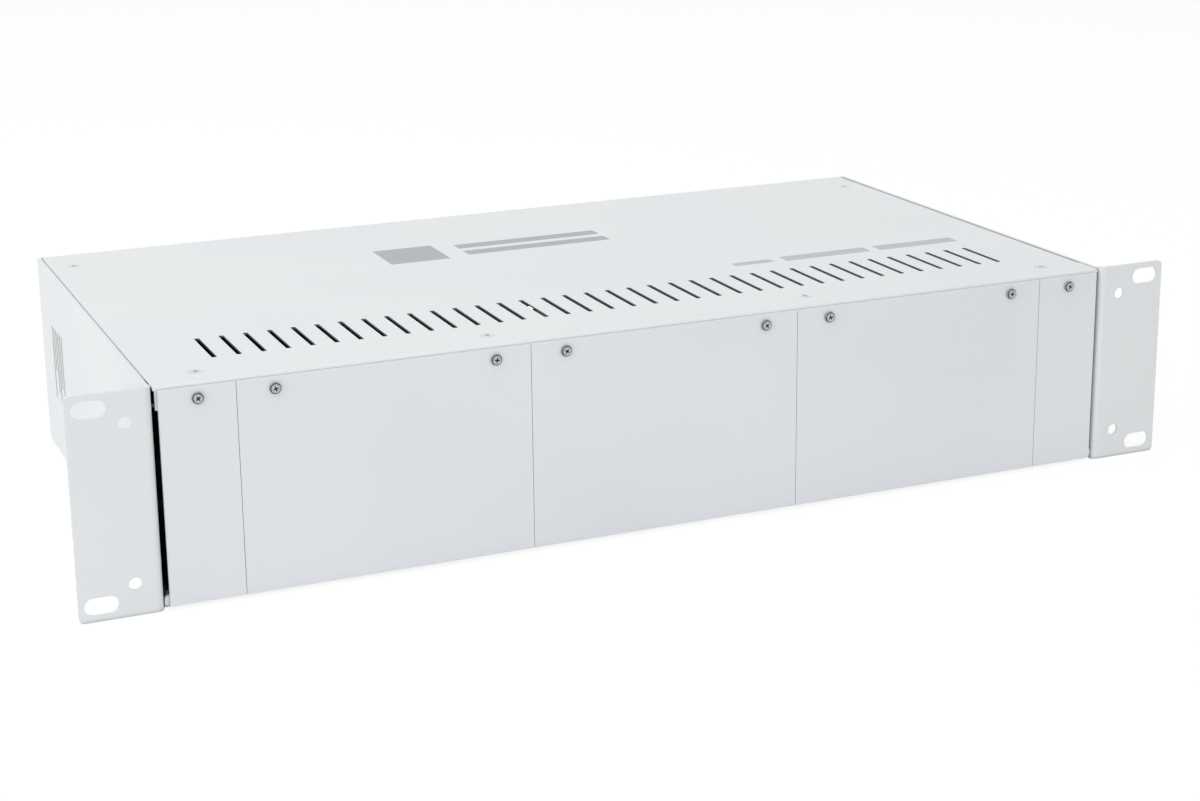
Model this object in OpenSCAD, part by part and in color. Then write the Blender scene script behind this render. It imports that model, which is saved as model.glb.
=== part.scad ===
// Subrack card cage: a two-unit, 19-inch chassis in white powder-coated steel,
// with fourteen card slots closed by blank plates, two power modules and two fans.
// The origin is midway between the four rack slots, on the rear faces of the ears.
// +X is to the right seen from the front, +Y is to the rear and +Z is up.

/* [Rack front] */
// Height of the front in rack units
rack_units = 2; // [2:1:3]
// Overall width across both ears
panel_w = 482.6; // [480:0.1:486]
// Width of an ear outside its side wall
ear_w = 30.8; // [29:0.1:33]
// Distance from the outer edge of an ear to the middle of its rack slots
rack_slot_edge = 8.75; // [8:0.05:9.5]
// Length of a rack slot
rack_slot_l = 13; // [9:0.1:13.5]
// Height of a rack slot
rack_slot_h = 7; // [6:0.1:8]
// Distance from the outer edge of an ear to its round holes
round_hole_edge = 21.8; // [21:0.1:23]
// Distance between the round ear holes of one ear
round_hole_rise = 62.9; // [50:0.1:66]
// Diameter of the round ear holes
round_hole_d = 5; // [3:0.1:6]
// Radius of the outer corners of the ears
ear_corner_r = 2; // [0.5:0.1:4]

/* [Base] */
// Depth from the front face to the rear edge
body_d = 229; // [220:1:260]
// Sheet thickness of the base, its walls and its ears
base_t = 1.5; // [1:0.1:1.8]
// Inside radius of the folds of the base
base_fold_r = 1.2; // [0.6:0.1:1.5]
// Height of the floor's front lip above the underside
floor_lip_h = 5.3; // [4.8:0.1:8]
// Width of the relief cut where two folds of the base meet
fold_relief = 1; // [0.5:0.1:2]

/* [Top cover] */
// Sheet thickness of the cover
cover_t = 0.8; // [0.6:0.1:1.5]
// Inside radius of the folds of the cover
cover_fold_r = 0.6; // [0.3:0.1:1]
// How far the cover lies below the top of the ears
top_drop = 0.8; // [0.3:0.1:1.5]
// Gap between the cover and each side wall
cover_play = 0.3; // [0.2:0.05:0.6]
// Depth of the cover's front lip
cover_lip_h = 9; // [8:0.1:11]
// Gap between the cover's front lip and each side wall
lip_play = 1.2; // [0.8:0.1:2]
// Depth of the cover's side flanges
cover_side_h = 5; // [4:0.1:6]
// Distance from the front lip to the side flanges
cover_flange_back = 12; // [6:0.5:20]
// Distance from a side wall to the outer front screws
cover_screw_edge = 21.8; // [15:0.1:26]
// Distance from an outer front screw to the next one
cover_screw_step = 117.4; // [100:0.1:130]
// Distance from the front face to the front screws
cover_screw_front = 16; // [14:0.1:20]
// Distance from a side wall to the rear screws
rear_screw_edge = 12.5; // [10:0.1:20]
// Distance from the rear edge to the rear screws
rear_screw_back = 22.5; // [18:0.1:26]
// Thread diameter of the cover screws
cover_screw_d = 3; // [2.5:0.1:3.5]

/* [Vents] */
// Vent slots over each card slot
vents_per_slot = 3; // [1:1:3]
// Length of a vent slot
vent_l = 29.6; // [20:0.1:45]
// Width of a vent slot
vent_w = 2.1; // [1.5:0.1:4]
// Distance from the front face to the vent slots
vent_front = 31.7; // [30:0.1:40]
// Corner radius of a vent slot
vent_corner_r = 0.5; // [0.2:0.1:0.7]

/* [Blank plates] */
// Card slots that a narrow blank covers
narrow_slots = 1; // [1:1:2]
// Card slots that a wide blank covers
wide_slots = 4; // [3:1:4]
// Thickness of a blank
blank_t = 1.5; // [1:0.1:2]
// Gap between two blanks
blank_gap = 0.2; // [0.1:0.1:1]
// Gap between a side wall and the outer slot
side_gap = 2; // [1.6:0.1:2.5]
// How far the blanks end below the top of the cover
blank_top_drop = 1.3; // [1:0.1:2]
// How far the blanks end above the underside
blank_bottom_rise = 1.3; // [1:0.1:2]
// Height of the blank screws below the top of the cover
blank_screw_drop = 5.6; // [5:0.1:6.5]
// Thread diameter of the blank screws
blank_screw_d = 2.5; // [2:0.1:3]
// Head diameter of the blank screws
blank_head_d = 4.4; // [4:0.1:5]
// Head height of the blank screws
blank_head_h = 1.5; // [1:0.1:2]

/* [Card guides] */
// Sheet thickness of the guides
guide_t = 1.2; // [0.8:0.1:1.5]
// Length of the guides from front to rear
guide_l = 95; // [80:1:105]
// Height of the guide ribs
rib_h = 8; // [5:0.5:10]
// Clearance of a card over the front lips
lip_clear = 0.5; // [0.3:0.1:1.5]

/* [Power board] */
// Thickness of a circuit board
board_t = 1.6; // [1:0.1:2.4]
// Height of the power board
board_h = 34; // [28:1:40]
// Gap between the guides and the power board
board_gap = 12; // [8:1:20]
// Length of the board standoffs
standoff_l = 5; // [3:0.5:8]
// Sheet thickness of the bracket
bracket_t = 1.2; // [0.8:0.1:1.5]
// Outer diameter of a power plug's barrel
plug_d = 5.5; // [5:0.1:6]
// Length of a power plug's barrel
plug_l = 9.5; // [8:0.5:12]

/* [Rear panel] */
// Sheet thickness of the rear panel
rear_t = 1.2; // [0.8:0.1:1.5]
// Width of the rear panel's flanges
rear_flange = 12; // [8:1:16]

/* [Power modules] */
// Width of a power module
module_w = 110; // [100:1:118]
// Height of a power module
module_h = 70; // [64:1:72]
// Sheet thickness of a module's case
case_t = 1; // [0.8:0.1:1.2]
// Thickness of a module's face plate
face_t = 1.5; // [1:0.1:2]
// How far the face plate overlaps its cut-out
face_lap = 6; // [5:0.5:7]
// Switching angle of the rocker
rocker_throw = 16; // [10:1:20]

/* [Fans] */
// Side of a fan's square frame
fan_size = 60; // [60:1:64]
// Depth of a fan
fan_depth = 25; // [20:1:28]
// Distance from the edges of a fan to its screws
fan_screw_edge = 5; // [4.5:0.1:6]
// Gap between the blade tips and the frame
tip_gap = 0.9; // [0.6:0.1:1.5]
// Number of blades
blade_count = 7; // [5:2:9]
// Wire diameter of the finger guards
guard_wire_d = 1.6; // [1.2:0.1:2]

/* [Hidden] */
$fn = 48;

// Rack front: rack units and the standard's own allowances
unit_h = 44.45;
panel_play = 0.8;
rack_slot_inset = 12.7;
panel_h = rack_units * unit_h - panel_play;
rack_slot_rise = rack_units * unit_h - rack_slot_inset;
rack_slot_span = panel_w - 2 * rack_slot_edge;
round_hole_span = panel_w - 2 * round_hole_edge;
body_w = panel_w - 2 * ear_w;

// Planes of the body
front_y = -base_t;
rear_y = front_y + body_d;
base_z = -panel_h / 2;
ear_top_z = panel_h / 2;
cover_z = ear_top_z - top_drop;
floor_z = base_z + base_t;
roof_z = cover_z - cover_t;
wall_x = body_w / 2;
inner_x = wall_x - base_t;
base_fold = base_fold_r + base_t;
cover_fold = cover_fold_r + cover_t;
lip_y = front_y + blank_t;
floor_lip_top = base_z + floor_lip_h;
cover_lip_bottom = cover_z - cover_lip_h;
cover_x = inner_x - cover_play;
cover_lip_x = inner_x - lip_play;
cover_flange_bottom = cover_z - cover_side_h;
under_cover_x = cover_x - cover_fold - cover_play;
lip_corner_r = 1.5;
lip_x = inner_x - cover_play;

// Slots and blanks
slot_count = 2 * narrow_slots + 3 * wide_slots;
bay_w = 2 * (inner_x - side_gap);
slot_pitch = bay_w / slot_count;
blank_top = cover_z - blank_top_drop;
blank_bottom = base_z + blank_bottom_rise;
blank_screw_z = cover_z - blank_screw_drop;
blank_starts = [0, narrow_slots, narrow_slots + wide_slots,
    narrow_slots + 2 * wide_slots, narrow_slots + 3 * wide_slots];
blank_spans = [narrow_slots, wide_slots, wide_slots, wide_slots, narrow_slots];
hook_t = 1;
hook_w = 12;
hook_drop = 2.5;
hook_rise = 7;
hook_play = 0.3;
hook_back = lip_y + base_t + hook_play + hook_t;

// Screw clearances
hole_play = 0.2;
tap_play = 0.05;
thread_run = 1;
nut_d = 5.6;
nut_l = 1.5;

// Vents
vent_pitch = slot_pitch / vents_per_slot;
vent_reach = (slot_count / 2 - narrow_slots) * vents_per_slot;
vent_y = front_y + vent_front;

// Card guides
guide_fold_r = 0.6;
guide_fold = guide_fold_r + guide_t;
guide_gap = 1.5;
guide_y0 = hook_back + guide_gap;
guide_y1 = guide_y0 + guide_l;
card_floor_z = floor_lip_top + lip_clear;
card_roof_z = cover_lip_bottom - lip_clear;
rib_margin = 3.5;
rib_strip = 3;
cover_screw_y = front_y + cover_screw_front;
cover_screw_out = wall_x - cover_screw_edge;
cover_screw_in = cover_screw_out - cover_screw_step;
rear_screw_x = wall_x - rear_screw_edge;
screw_land = 7;
rear_screw_y = rear_y - rear_screw_back;
cover_head_d = 1.87 * cover_screw_d;
cover_head_h = cover_t - 0.1;

// Power board and bracket
board_y = guide_y1 + board_gap;
board_margin = 7;
board_w = bay_w - 2 * board_margin;
board_drop = 4;
board_z = -board_drop;
bracket_y = board_y + board_t + standoff_l;
bracket_x = under_cover_x;
plug_block = [9, 11, 11];
plug_bore_d = 2.5;
socket_size = [44, 16, 14];
socket_wall = 2;
socket_z = board_z;
socket_back = board_y + board_t + socket_size[1];
bracket_flange = socket_back - bracket_y;
standoff_d = 5;
standoff_count = 6;
screw_d = 3;
screw_head_d = 5.5;
screw_head_h = 2;
board_hole_edge = 4;
board_hole_z = board_h / 2 - board_hole_edge;
plug_window_h = 18;
plug_window_gap = 3;
plug_window_edge = 4;
socket_lead = 8;
socket_play = 0.3;

// Power modules
module_play = 0.5;
module_edge = 0.8;
module_outer_x = inner_x - rear_t - module_edge;
module_x = module_outer_x - module_w / 2;
module_y0 = socket_back + module_play;
module_top = floor_z + module_h;
face_top = module_top + face_lap;
face_in = module_x - module_w / 2 - face_lap;
face_out = wall_x - 1;
rail_h = 12;
rail_foot = 9;
rail_inset = 4;
module_board_z = floor_z + case_t + 6;
module_board_y0 = module_y0 + case_t + 3;
inlet_x = 22;
inlet_rise = 28.55;
inlet_z = floor_z + inlet_rise;
inlet_hole = [27, 20];
inlet_flange = [31, 24, 2];
inlet_depth = 20;
inlet_well = 15;
switch_x = -24;
switch_hole = [13, 19.4];
switch_flange = [15, 21.5, 2];
switch_depth = 12;
rocker_r = 8.6;
rocker_gap = 0.4;
rocker_w = 10.4;
pivot_r = 1.2;
pivot_play = 0.05;
thumb_x = 40;
thumb_d = 4;
thumb_head_d = 9;
thumb_head_l = 8;
thumb_lift = 0.5;
thumb_z = module_top + face_lap / 2 + thumb_lift;
thumb_neck = 2;
module_rear_clear = 40;
module_board_edge = 5;
foot_edge = 6;
slit_w = 3;
slit_r = 1.4;
slit_pitch = 8;
slit_drop = 9;
slit_gap = 2.45;
lid_slit_y = 22;
lid_slit_l = 36;
core_size = [32, 28, 26];
core_plate = 5;
core_leg = [6, 12];
coil_r = 9;
cap_x = -34;
cap_y = 15;
cap_pitch = 21;
cap_d = 18;
cap_l = 32;
cap_neck = 1.4;
sink_x = 28;
sink_t = 3;
sink_h = 34;
sink_edge = 6;
fin_l = 13;
fin_t = 1.4;
inlet_corner_r = 2;
inlet_mouth = [24, 16.8];
mouth_cut = 4;
pin_step = 7;
pin_rise = 2;
pin_w = 2;
pin_h = 4;
pin_sink = 2;
tab_size = [6.4, 7, 1];

module_board_l = rear_y - module_board_y0 - module_rear_clear;
module_board_w = module_w - 2 * module_board_edge;

// Fans
fan_back = rear_y - rear_t;
fan_x = face_in / 2;
fan_screw_span = fan_size - 2 * fan_screw_edge;
fan_front = fan_back - fan_depth;
fan_z = 0;
fan_wall = 1.5;
fan_bore_r = fan_size / 2 - fan_wall;
fan_flange_t = 4;
fan_corner_r = 4;
fan_screw_d = 4;
fan_head_d = 8;
fan_head_h = 2.6;
fan_screw_over = 4;
hub_r = 13;
hub_wall = 1.6;
shaft_r = 1.5;
shaft_play = 0.05;
tube_r = 3.5;
motor_base_t = 2.5;
motor_base_r = 13;
stator_front = 7;
stator_wall = 2;
stator_arm = [9, 4];
rotor_gap = 0.7;
blade_t = 1.4;
blade_pitch = 38;
guard_margin = 1;
guard_rings = 4;
hex_d = 8.1;
hex_h = 3.2;
washer_d = 9;
washer_t = 0.8;
stud_d = 4;
stud_head_d = 6.8;
stud_head_l = 2;
stud_l = 14;
stud_z = (floor_z + rear_t - fan_size / 2) / 2;

// A box between two opposite corners
module block(low, high) {
    translate(low) cube(high - low);
}

// A flat outline in X and Y pulled up from z0 to z1
module up(z0, z1) {
    translate([0, 0, z0]) linear_extrude(z1 - z0) children();
}

// A section in Y and Z pulled along X from x0 to x1
module along_x(x0, x1) {
    translate([x0, 0, 0]) rotate([90, 0, 90]) linear_extrude(x1 - x0) children();
}

// A section in X and Z pulled along Y from y0 to y1
module along_y(y0, y1) {
    translate([0, y1, 0]) rotate([90, 0, 0]) linear_extrude(y1 - y0) children();
}

// A round hole or pin along Y
module rod_y(x, z, r, y0, y1) {
    translate([x, y1, z]) rotate([90, 0, 0]) cylinder(r = r, h = y1 - y0);
}

// A rectangle about the origin with round corners
module round_rect(size, r) {
    square([size[0] - 2 * r, size[1]], center = true);
    square([size[0], size[1] - 2 * r], center = true);
    for (sx = [-1, 1], sy = [-1, 1])
        translate([sx * (size[0] / 2 - r), sy * (size[1] / 2 - r)]) circle(r);
}

// An L-shaped sheet section: outer faces on the axes, legs along +X and +Y
module folded_edge(leg_x, leg_y, t, r) {
    ro = r + t;
    if (leg_x > ro) translate([ro, 0]) square([leg_x - ro, t]);
    if (leg_y > ro) translate([0, ro]) square([t, leg_y - ro]);
    translate([ro, ro]) intersection() {
        difference() {
            circle(ro);
            circle(r);
        }
        translate([-ro, -ro]) square(ro);
    }
}

// The left and right copies of what is drawn for the right side
module both_sides() {
    children();
    mirror([1, 0, 0]) children();
}

// Puts what is drawn for one side on the left (-1) or the right (1)
module on_side(side) {
    if (side > 0) children();
    else mirror([1, 0, 0]) children();
}

// Right ear and the fold that joins it to the side wall, seen from above
module ear_section() {
    translate([inner_x, front_y]) folded_edge(panel_w / 2 - inner_x, base_fold + fold_relief, base_t,
        base_fold_r);
}

// The outline of the right ear seen from the front
module ear_outline() {
    reach = panel_w / 2 - inner_x;
    difference() {
        union() {
            translate([inner_x, base_z]) square([reach - ear_corner_r, panel_h]);
            translate([inner_x, base_z + ear_corner_r]) square([reach, panel_h - 2 * ear_corner_r]);
            for (z = [base_z + ear_corner_r, ear_top_z - ear_corner_r])
                translate([panel_w / 2 - ear_corner_r, z]) circle(ear_corner_r);
        }
        for (side = [-1, 1]) {
            translate([rack_slot_span / 2, side * rack_slot_rise / 2]) rack_slot();
            translate([round_hole_span / 2, side * round_hole_rise / 2]) circle(d = round_hole_d);
        }
    }
}

// A slot with round ends, as the rack standard has it
module rack_slot() {
    straight = rack_slot_l - rack_slot_h;
    square([straight, rack_slot_h], center = true);
    for (side = [-1, 1]) translate([side * straight / 2, 0]) circle(d = rack_slot_h);
}

// The floor and both walls, seen from the front
module channel_section() {
    both_sides() translate([wall_x, base_z]) mirror([1, 0])
        folded_edge(wall_x, cover_z - base_z, base_t, base_fold_r);
}

// The floor's front edge and lip, seen from the side
module floor_lip_section() {
    translate([lip_y, base_z]) folded_edge(base_fold + fold_relief - lip_y + front_y + base_t,
        floor_lip_h, base_t, base_fold_r);
}

module chassis_base() {
    color("whitesmoke") difference() {
        union() {
            along_y(front_y + base_fold + fold_relief, rear_y) channel_section();
            both_sides() {
                intersection() {
                    up(base_z, ear_top_z) ear_section();
                    union() {
                        along_y(front_y, lip_y + base_t) ear_outline();
                        block([inner_x, front_y, base_z],
                            [inner_x + base_fold, front_y + base_fold, ear_top_z]);
                        block([inner_x, front_y + base_fold, base_z + base_fold],
                            [wall_x, front_y + base_fold + fold_relief, cover_z]);
                    }
                }
            }
            intersection() {
                along_x(-lip_x, lip_x) floor_lip_section();
                union() {
                    along_y(lip_y, lip_y + base_t) lip_outline();
                    block([-lip_x, lip_y, base_z], [lip_x, rear_y, base_z + base_fold]);
                }
            }
        }
        for (x = bracket_screw_xs()) translate([x, bracket_screw_y(), base_z - 1])
            cylinder(d = screw_d + 2 * tap_play, h = base_t + 2);
    }
}

// The lip of the floor seen from the front, with its upper corners rounded
module lip_outline() {
    difference() {
        translate([-lip_x, base_z]) square([2 * lip_x, floor_lip_h]);
        both_sides() translate([lip_x - lip_corner_r, floor_lip_top - lip_corner_r]) difference() {
            square(lip_corner_r + 1);
            circle(lip_corner_r);
        }
    }
}

// Places of the countersunk cover screws
function cover_screw_places() = [
    for (x = [-cover_screw_out, -cover_screw_in, cover_screw_in, cover_screw_out]) [x, cover_screw_y],
    for (x = [-rear_screw_x, rear_screw_x]) [x, rear_screw_y]
];

module top_cover() {
    flat_x = cover_x - cover_fold;
    flange_y0 = lip_y + cover_fold + cover_flange_back;
    flange_y1 = rear_y - rear_t - cover_play;
    flat_z = cover_z - cover_fold;
    color("whitesmoke") difference() {
        union() {
            block([-flat_x, lip_y + cover_fold, roof_z], [flat_x, rear_y, cover_z]);
            both_sides() {
                translate([cover_x, 0, cover_z]) mirror([1, 0, 0]) mirror([0, 0, 1])
                    along_y(flange_y0, flange_y1)
                        folded_edge(cover_fold, cover_side_h, cover_t, cover_fold_r);
                block([flat_x, lip_y + cover_fold, roof_z], [cover_x - cover_play, flange_y0, cover_z]);
                block([flat_x, flange_y1, roof_z], [cover_x, rear_y, cover_z]);
            }
            intersection() {
                translate([0, lip_y, cover_z]) mirror([0, 0, 1]) along_x(-cover_x, cover_x)
                    folded_edge(cover_fold, cover_lip_h, cover_t, cover_fold_r);
                union() {
                    block([-cover_x + cover_play, lip_y, flat_z], [cover_x - cover_play, rear_y, cover_z]);
                    block([-cover_lip_x, lip_y, cover_lip_bottom], [cover_lip_x, rear_y, flat_z]);
                }
            }
        }
        for (i = [-vent_reach : vent_reach])
            up(roof_z - 1, cover_z + 1) translate([i * vent_pitch, vent_y + vent_l / 2])
                round_rect([vent_w, vent_l], vent_corner_r);
        for (p = cover_screw_places()) translate([p[0], p[1], 0]) countersink();
        for (x = blank_screw_xs())
            rod_y(x, blank_screw_z, blank_screw_d / 2 + hole_play, lip_y - 1, lip_y + cover_fold);
    }
}

// The cut that a countersunk screw needs in the cover
module countersink() {
    up(roof_z - 1, cover_z + 1) circle(d = cover_screw_d + 2 * hole_play);
    translate([0, 0, cover_z - cover_head_h])
        cylinder(d1 = cover_screw_d + 2 * hole_play, d2 = cover_head_d + 2 * hole_play, h = cover_head_h);
    up(cover_z, cover_z + 1) circle(d = cover_head_d + 2 * hole_play);
}

module cover_screws() {
    color("white") for (p = cover_screw_places()) translate([p[0], p[1], 0]) difference() {
        union() {
            translate([0, 0, roof_z - guide_t - thread_run])
                cylinder(d = cover_screw_d, h = cover_t + guide_t + thread_run - cover_head_h);
            translate([0, 0, cover_z - cover_head_h])
                cylinder(d1 = cover_screw_d, d2 = cover_head_d, h = cover_head_h);
        }
        cross_recess(cover_z, cover_head_d * 0.55, cover_head_h * 0.7);
    }
}

// A cross recess of a given width and depth, sunk from a height
module cross_recess(top, width, depth) {
    bar = width / 4.5;
    for (turn = [0, 90]) rotate(turn)
        block([-width / 2, -bar / 2, top - depth], [width / 2, bar / 2, top + 1]);
}

// The left edge of slot number i, counted from the left
function slot_edge(i) = -bay_w / 2 + i * slot_pitch;

// The screws of one blank: one in the middle of each of its end slots
function screws_of(i) = blank_spans[i] == 1
    ? [slot_edge(blank_starts[i] + 0.5)]
    : [slot_edge(blank_starts[i] + 0.5), slot_edge(blank_starts[i] + blank_spans[i] - 0.5)];
function blank_screw_xs() = [for (i = [0 : 4]) for (x = screws_of(i)) x];

// The hook welded behind a blank, which drops behind the floor's lip
module hook_section() {
    seat = floor_lip_top + hook_play;
    translate([lip_y, seat]) square([hook_t, hook_rise]);
    translate([lip_y, seat]) square([hook_back - lip_y, hook_t]);
    translate([hook_back - hook_t, seat - hook_drop]) square([hook_t, hook_drop + hook_t]);
}

// Blank plate number i, counted from the left
module blank_plate(i) {
    x0 = slot_edge(blank_starts[i]) + blank_gap / 2;
    x1 = slot_edge(blank_starts[i] + blank_spans[i]) - blank_gap / 2;
    color("gainsboro") {
        difference() {
            block([x0, front_y, blank_bottom], [x1, lip_y, blank_top]);
            for (x = screws_of(i)) rod_y(x, blank_screw_z, blank_screw_d / 2 + hole_play, front_y - 1,
                lip_y + 1);
        }
        for (x = screws_of(i)) along_x(x - hook_w / 2, x + hook_w / 2) hook_section();
    }
}

module blank_screws() {
    color("dimgray") for (x = blank_screw_xs()) translate([x, front_y, blank_screw_z]) rotate([90, 0, 0])
        pan_screw(blank_screw_d, blank_head_d, blank_head_h, blank_t + cover_t + nut_l + thread_run / 2);
}

// The nuts pressed into the back of the cover's lip for the blank screws
module clinch_nuts() {
    y = lip_y + cover_t;
    color("silver") for (x = blank_screw_xs()) difference() {
        rod_y(x, blank_screw_z, nut_d / 2, y, y + nut_l);
        rod_y(x, blank_screw_z, blank_screw_d / 2 + tap_play, y - 1, y + nut_l + 1);
    }
}

// A pan-head screw: head on +Z above the origin, shank below it
module pan_screw(d, head_d, head_h, l) {
    edge = head_h * 0.4;
    difference() {
        union() {
            translate([0, 0, -l]) cylinder(d = d, h = l);
            cylinder(d = head_d, h = head_h - edge);
            translate([0, 0, head_h - edge]) cylinder(d1 = head_d, d2 = head_d - 2 * edge, h = edge);
        }
        cross_recess(head_h, head_d * 0.6, head_h * 0.6);
    }
}

// One guide web with the windows that its ribs are folded out of, each window_w wide
module guide_web(z0, z1, window_w) {
    rib_y0 = guide_y0 + guide_fold + rib_margin;
    rib_y1 = guide_y1 - guide_fold - rib_margin;
    difference() {
        block([-inner_x + guide_fold, guide_y0 + guide_fold, z0],
            [inner_x - guide_fold, guide_y1 - guide_fold, z1]);
        for (i = [1 : slot_count - 1]) translate([slot_edge(i) + guide_t / 2, 0, 0])
            block([0, rib_y0, z0 - 1], [window_w, rib_y1, z1 + 1]);
    }
}

// The ribs between the card slots, from z0 to z1
module guide_ribs(z0, z1) {
    rib_y0 = guide_y0 + guide_fold + rib_margin;
    rib_y1 = guide_y1 - guide_fold - rib_margin;
    for (i = [1 : slot_count - 1])
        block([slot_edge(i) - guide_t / 2, rib_y0, z0], [slot_edge(i) + guide_t / 2, rib_y1, z1]);
}

module lower_guide() {
    foot = card_floor_z - floor_z;
    color("silver") {
        guide_web(card_floor_z - guide_t, card_floor_z, rib_h);
        guide_ribs(card_floor_z - guide_t, card_floor_z + rib_h);
        both_sides() translate([inner_x, 0, card_floor_z - guide_t]) mirror([1, 0, 0])
            along_y(guide_y0 + guide_fold + fold_relief, guide_y1 - guide_fold - fold_relief)
                folded_edge(guide_fold, rib_h + guide_t, guide_t, guide_fold_r);
        for (turn = [0, 1]) translate([0, turn * (guide_y0 + guide_y1), 0]) mirror([0, turn, 0])
            translate([0, guide_y0, card_floor_z]) mirror([0, 0, 1])
                along_x(-inner_x + guide_fold, inner_x - guide_fold)
                    folded_edge(guide_fold, foot, guide_t, guide_fold_r);
    }
}

module upper_guide() {
    land = cover_screw_y + screw_land - guide_y0;
    rise = roof_z - card_roof_z;
    color("silver") difference() {
        union() {
            guide_web(card_roof_z, card_roof_z + guide_t, slot_pitch - guide_t - rib_strip);
            guide_ribs(card_roof_z - rib_h, card_roof_z + guide_t);
            both_sides() translate([inner_x, 0, card_roof_z + guide_t]) mirror([1, 0, 0]) mirror([0, 0, 1])
                along_y(guide_y0 + guide_fold + fold_relief, guide_y1 - guide_fold - fold_relief)
                    folded_edge(guide_fold, rib_h + guide_t, guide_t, guide_fold_r);
            for (turn = [0, 1]) translate([0, turn * (guide_y0 + guide_y1), 0]) mirror([0, turn, 0])
                translate([0, guide_y0, card_roof_z]) along_x(-bracket_x, bracket_x) {
                    folded_edge(guide_fold, rise / 2, guide_t, guide_fold_r);
                    translate([0, rise]) mirror([0, 1]) folded_edge(land, rise / 2, guide_t, guide_fold_r);
                }
        }
        for (p = cover_screw_places()) translate([p[0], p[1], roof_z - guide_t - 1])
            cylinder(d = cover_screw_d + 2 * tap_play, h = guide_t + 2);
    }
}

// Places of the screws that hold the bracket to the floor
function bracket_screw_xs() = [for (i = [-1.5 : 1 : 1.5]) i * bracket_x / 2];
function bracket_screw_y() = bracket_y + bracket_t + bracket_flange / 2;

// Places of the board's standoffs
function standoff_xs() = [for (i = [0 : standoff_count / 2 - 1])
    (i - (standoff_count / 2 - 1) / 2) * (slot_pitch * 6)];

module power_bracket() {
    window_w = slot_pitch - 2 * plug_window_edge;
    window_z = board_z + board_h / 2 + plug_window_gap + plug_window_h / 2;
    color("silver") difference() {
        translate([0, bracket_y, 0]) along_x(-bracket_x, bracket_x) {
            translate([0, floor_z]) folded_edge(bracket_flange, roof_z - floor_z - bracket_flange,
                bracket_t, guide_fold_r);
            translate([0, roof_z]) mirror([0, 1])
                folded_edge(bracket_flange, bracket_flange, bracket_t, guide_fold_r);
        }
        for (i = [0 : slot_count - 1])
            along_y(bracket_y - 1, bracket_y + bracket_t + 1) translate([slot_edge(i + 0.5), window_z])
                round_rect([window_w, plug_window_h], lip_corner_r);
        for (side = [-1, 1]) along_y(bracket_y - 1, bracket_y + bracket_t + 1)
            translate([side * module_x, socket_z])
                square([socket_size[0] + 2 * socket_wall, socket_size[2] + 2 * socket_wall], center = true);
        for (x = bracket_screw_xs()) translate([x, bracket_screw_y(), floor_z - 1])
            cylinder(d = screw_d + 2 * hole_play, h = bracket_t + 2);
        for (x = standoff_xs(), side = [-1, 1])
            rod_y(x, board_z + side * board_hole_z, screw_d / 2 + hole_play, bracket_y - 1,
                bracket_y + bracket_t + 1);
    }
}

module bracket_screws() {
    color("silver") for (x = bracket_screw_xs()) translate([x, bracket_screw_y(), floor_z + bracket_t])
        pan_screw(screw_d, screw_head_d, screw_head_h, bracket_t + base_t);
}

module power_board() {
    color("darkgreen") difference() {
        block([-board_w / 2, board_y, board_z - board_h / 2],
            [board_w / 2, board_y + board_t, board_z + board_h / 2]);
        for (x = standoff_xs(), side = [-1, 1])
            rod_y(x, board_z + side * board_hole_z, screw_d / 2 + hole_play, board_y - 1,
                board_y + board_t + 1);
    }
}

module board_standoffs() {
    color("gold") for (x = standoff_xs(), side = [-1, 1]) difference() {
        rod_y(x, board_z + side * board_hole_z, standoff_d / 2, board_y + board_t, bracket_y);
        rod_y(x, board_z + side * board_hole_z, screw_d / 2 + tap_play, board_y, bracket_y + 1);
    }
}

module board_screws() {
    color("silver") for (x = standoff_xs(), side = [-1, 1])
        translate([x, board_y, board_z + side * board_hole_z]) rotate([90, 0, 0])
            pan_screw(screw_d, screw_head_d, screw_head_h, board_t + standoff_l + bracket_t);
}

module power_plugs() {
    color("dimgray") for (i = [0 : slot_count - 1]) translate([slot_edge(i + 0.5), board_y, board_z])
        difference() {
        union() {
            block([-plug_block[0] / 2, -plug_block[1], -plug_block[2] / 2],
                [plug_block[0] / 2, 0, plug_block[2] / 2]);
            rod_y(0, 0, plug_d / 2, -plug_block[1] - plug_l, -plug_block[1]);
        }
        rod_y(0, 0, plug_bore_d / 2, -plug_block[1] - plug_l - 1, -plug_block[1]);
    }
}

module module_sockets() {
    color("ivory") both_sides() translate([module_x, board_y + board_t, socket_z]) difference() {
        block([-socket_size[0] / 2, 0, -socket_size[2] / 2],
            [socket_size[0] / 2, socket_size[1], socket_size[2] / 2]);
        block([-socket_size[0] / 2 + socket_wall, 2 * socket_wall, -socket_size[2] / 2 + socket_wall],
            [socket_size[0] / 2 - socket_wall, socket_size[1] + 1, socket_size[2] / 2 - socket_wall]);
    }
}

// The right rail that guides the inner side of a module
module module_rail(side) {
    rail_x = module_x - module_w / 2 - module_play;
    color("silver") on_side(side) translate([rail_x, 0, floor_z]) mirror([1, 0, 0])
        along_y(module_y0 + rail_inset, rear_y - rear_t - rear_flange - rail_inset)
            folded_edge(rail_foot, rail_h, guide_t, guide_fold_r);
}

// Case of the right module: floor, two sides and the wall that carries its plug
module module_case(side) {
    x0 = module_x - module_w / 2;
    x1 = module_x + module_w / 2;
    color("lightgray") on_side(side) difference() {
        block([x0, module_y0, floor_z], [x1, rear_y, module_top - case_t]);
        block([x0 + case_t, module_y0 + case_t, floor_z + case_t], [x1 - case_t, rear_y + 1, module_top]);
        block([module_x - socket_size[0] / 2, module_y0 - 1, socket_z - socket_size[2] / 2],
            [module_x + socket_size[0] / 2, module_y0 + case_t + 1, socket_z + socket_size[2] / 2]);
    }
}

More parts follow.
